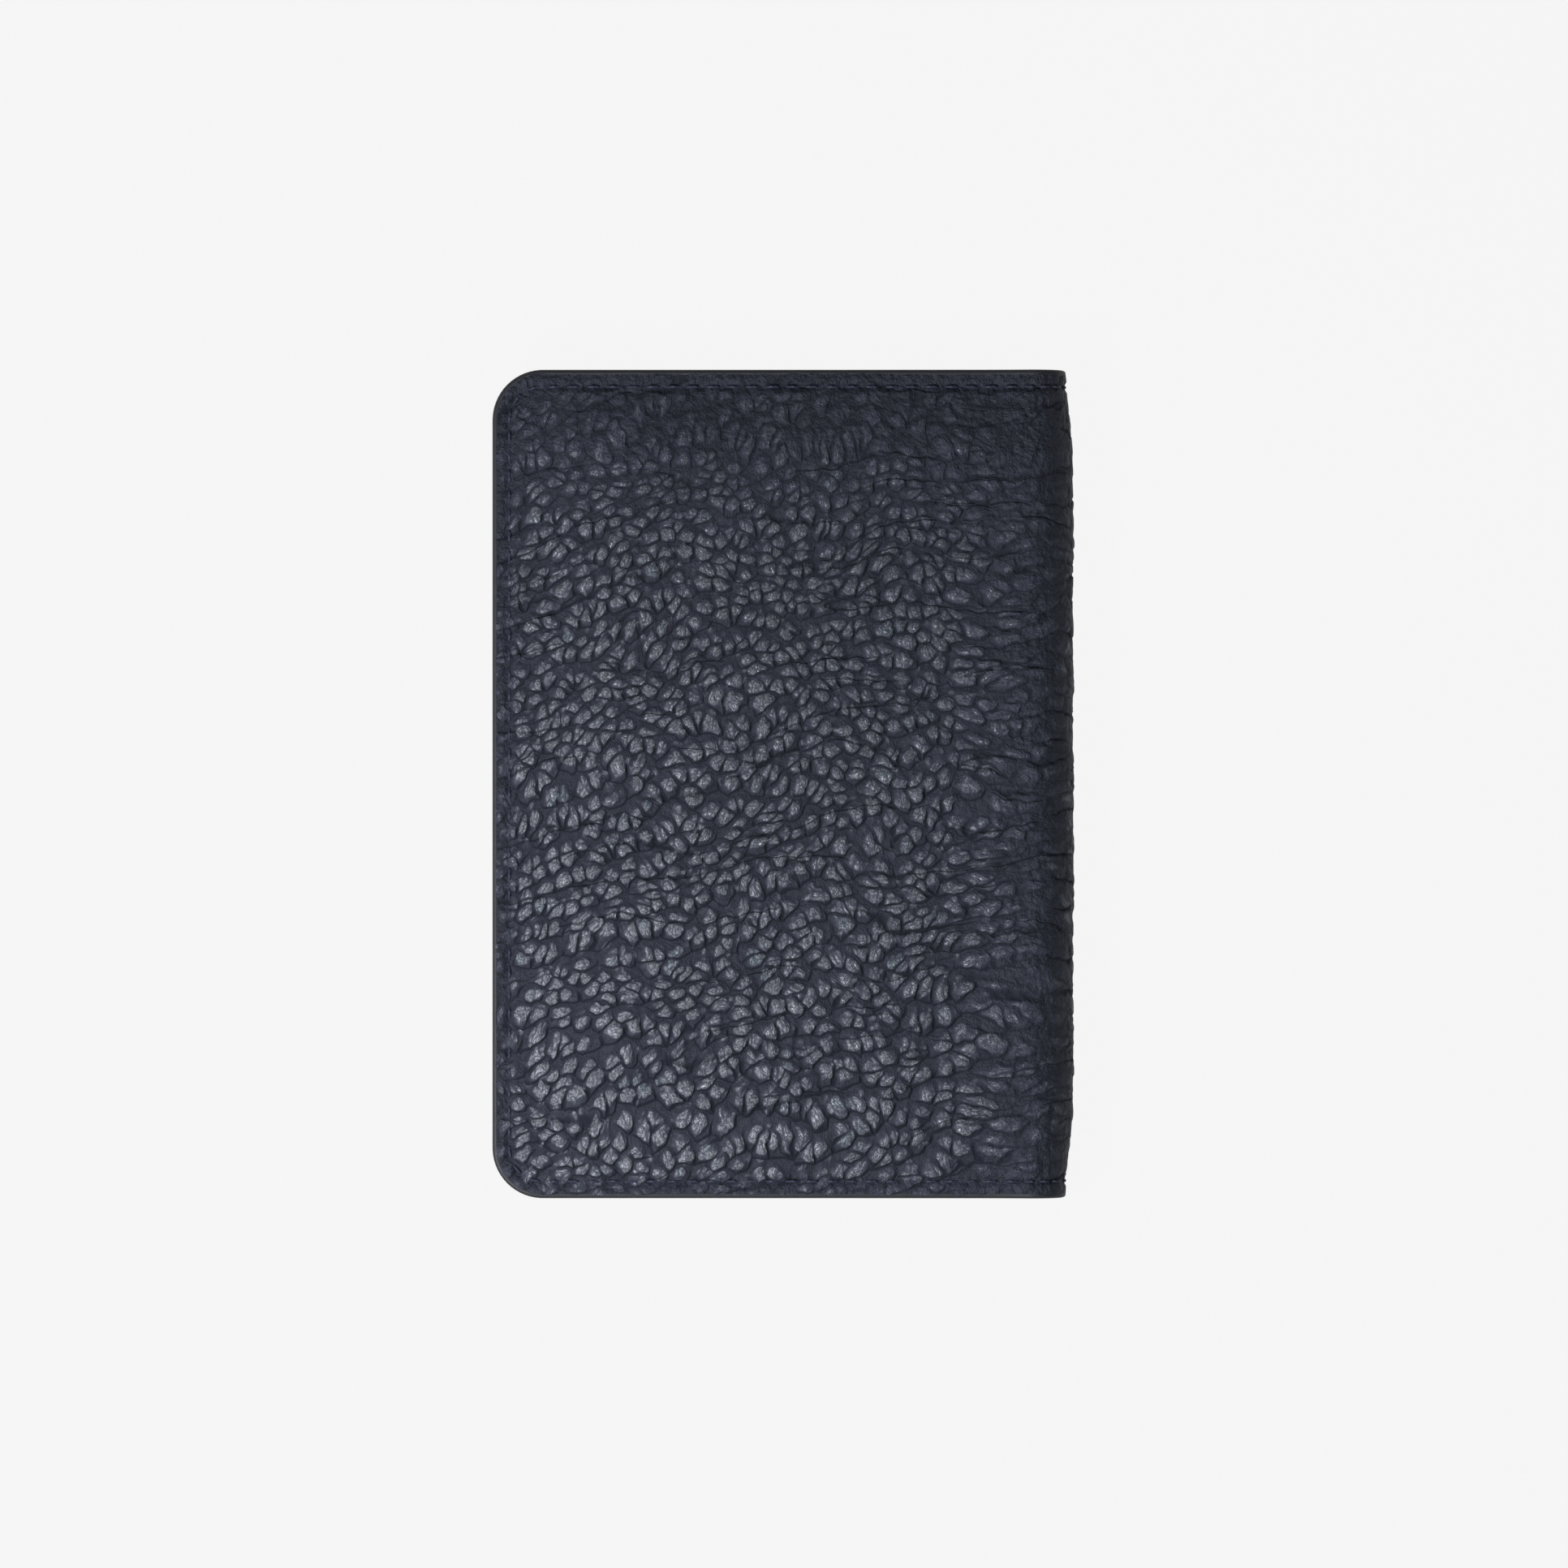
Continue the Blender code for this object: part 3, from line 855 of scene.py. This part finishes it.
def three_sides(inset, steps_per_mm):
    """Evenly spaced places on the flat hide, along the line inset from the free edge:
    from the middle of the spine along the top, down the side and back along the bottom.
    Gives each place, across and along, and the direction that the line runs in."""
    radius = CORNER - inset
    run = HIDE_WIDTH - CORNER
    arc = math.pi / 2 * radius
    down = 2 * (HALF_HEIGHT - CORNER)
    total = 2 * run + 2 * arc + down
    count = round(total * steps_per_mm)
    d = (np.arange(count + 1)) / count * total
    first = np.clip(d / run, 0, 1)
    turn_1 = np.clip((d - run) / arc, 0, 1) * math.pi / 2
    side_way = np.clip((d - run - arc) / down, 0, 1)
    turn_2 = np.clip((d - run - arc - down) / arc, 0, 1) * math.pi / 2
    back_way = np.clip((d - run - 2 * arc - down) / run, 0, 1)
    across = HIDE_WIDTH - first * run - radius * np.sin(turn_1)
    across = across + radius * (1 - np.cos(turn_2)) + back_way * run
    along = HALF_HEIGHT - inset - radius * (1 - np.cos(turn_1))
    along = along - side_way * down - radius * np.sin(turn_2)
    heading = math.pi + turn_1 + turn_2
    return d, across, along, heading


def close_tube(obj, spot, count):
    """Joins the last side of a rolled-up grid to its first, and closes its two ends."""
    bpy.ops.object.mode_set(mode="EDIT")
    bpy.ops.mesh.select_mode(type="VERT")
    bpy.ops.mesh.select_all(action="DESELECT")
    bpy.ops.object.mode_set(mode="OBJECT")
    rims = (spot == 0) | (spot == count - 1)
    obj.data.vertices.foreach_set("select", rims)
    bpy.ops.object.mode_set(mode="EDIT")
    bpy.ops.mesh.select_mode(type="EDGE")
    bpy.ops.mesh.bridge_edge_loops()
    bpy.ops.mesh.select_all(action="SELECT")
    bpy.ops.mesh.fill_holes(sides=0)
    bpy.ops.mesh.select_all(action="SELECT")
    bpy.ops.mesh.normals_make_consistent(inside=False)
    bpy.ops.object.mode_set(mode="OBJECT")


INK_DARK = (0.010, 0.011, 0.014, 1.0)
INK_LIGHT = (0.018, 0.019, 0.023, 1.0)
INK_SHEEN = 0.25

ink, shader, kept = new_finish("charcoal_edge_ink")
x, y, z = kept.xyz()
ripple = kept.noise(kept.point(x, y, z * 0.4), 1 / 1.6, 2.0)
coats = kept.noise(kept.point(x * 0.3, y * 0.3, z * 3.0), 1.0, 2.0)
feed(shader, "Normal", emboss(ripple * 0.05 + coats * 0.03))
feed(shader, "Roughness", ripple * 0.20 + 0.45)
shader.inputs["Specular IOR Level"].default_value = INK_SHEEN
feed(shader, "Base Color", mix(ripple, INK_DARK, INK_LIGHT))

for side in ("front", "back"):
    d, path_x, path_y, heading = three_sides(0.0, BEAD_STEPS_PER_MM)
    section = np.array(BEAD_SECTION)
    bead, u, v = new_grid(f"{side}_edge_ink", len(d) - 1, len(section) - 1)
    step = np.round(u * (len(d) - 1)).astype(int)
    spot = np.round(v * (len(section) - 1)).astype(int)
    inward, share = section[spot, 0], section[spot, 1]
    x = path_x[step] - np.sin(heading[step]) * inward
    y = path_y[step] + np.cos(heading[step]) * inward
    inner_depth, inner_sewn = innermost(x)
    depth = BEAD_TOP + (inner_depth - BEAD_TOP) * share
    sewn = EDGE_SINK + BEAD_TOP + (inner_sewn - EDGE_SINK - BEAD_TOP) * share
    place(bead, laid(x, y, depth, sewn, side))
    keep_flat_place(bead, x, y, share * BEAD_DEPTH)
    close_tube(bead, spot, len(section))
    set_finish(bead, ink)
    shade(bead, BEAD_SHARP)
    bend_with(bead)
    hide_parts(f"{side}_edge_paint")

# ---------------------------------------------------------------------------
# Seam. Navy bonded thread, sewn by machine round three sides of each half and over
# both ends of the spine. Each stitch sinks into the soft leather and dives at its ends.
# ---------------------------------------------------------------------------
STITCH_PITCH = 2.55
STITCH_LENGTH = 2.15
THREAD_WIDTH = 0.46
THREAD_NAVY = (0.016, 0.018, 0.034, 1.0)
THREAD_SHEEN = 0.20
PLY_TURNS, PLY_HEIGHT = 9.0, 0.02
STITCH_DIVE = 0.34
STITCH_PROUD = 0.06
SEAM_STEPS_PER_MM = 8

thread, shader, kept = new_finish("navy_bonded_thread")
across, along, _ = kept.xyz()
plies = ((across + along) * PLY_TURNS).math("SINE")
feed(shader, "Normal", emboss(plies * PLY_HEIGHT))
feed(shader, "Roughness", plies * 0.05 + 0.55)
shader.inputs["Base Color"].default_value = THREAD_NAVY
shader.inputs["Specular IOR Level"].default_value = THREAD_SHEEN

for side in ("front", "back"):
    d, path_x, path_y, heading = three_sides(SEAM_IN, SEAM_STEPS_PER_MM)
    count = int(d[-1] / STITCH_PITCH)
    bpy.ops.object.select_all(action="DESELECT")
    bpy.ops.mesh.primitive_uv_sphere_add(segments=8, ring_count=8, radius=0.5)
    stitches = bpy.context.object
    stitches.name = f"{side}_seam_stitches"
    stitches.data.name = stitches.name
    row = stitches.modifiers.new("row", "ARRAY")
    row.count = 2 * count
    apply_all(stitches)
    co = np.zeros(len(stitches.data.vertices) * 3)
    stitches.data.vertices.foreach_get("co", co)
    co = co.reshape(2 * count, -1, 3)
    number = np.arange(2 * count)[:, None]
    width = (co[:, :, 0] - number) * THREAD_WIDTH
    # the sphere's poles are the stitch's ends, which dip into their holes
    dip = STITCH_DIVE * np.abs(co[:, :, 2] * 2) ** 3
    middle = (number % count + 0.5) * d[-1] / count
    spot = middle + co[:, :, 2] * STITCH_LENGTH
    turn = np.interp(spot, d, heading)
    x = np.interp(spot, d, path_x) - np.sin(turn) * width
    y = np.interp(spot, d, path_y) + np.cos(turn) * width
    outside = number < count
    round_way = co[:, :, 1] * THREAD_WIDTH
    inner_depth, inner_sewn = innermost(x)
    sunk = SEAM_DIP_DEPTH + dip - round_way
    raised = STITCH_PROUD - dip + round_way
    depth = np.where(outside, sunk, inner_depth + raised).ravel()
    sewn = np.where(outside, EDGE_SINK + sunk, inner_sewn + raised).ravel()
    x, y = x.ravel(), y.ravel()
    place(stitches, laid(x, y, depth, sewn, side))
    keep_flat_place(stitches, x, y)
    bpy.ops.object.mode_set(mode="EDIT")
    bpy.ops.mesh.select_all(action="SELECT")
    bpy.ops.mesh.normals_make_consistent(inside=False)
    bpy.ops.object.mode_set(mode="OBJECT")
    set_finish(stitches, thread)
    bpy.ops.object.shade_smooth()
    bend_with(stitches)
    if side == "back":
        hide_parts("back_seam_thread", "spine_seam_top", "spine_seam_bottom")
    else:
        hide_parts("front_seam_thread")
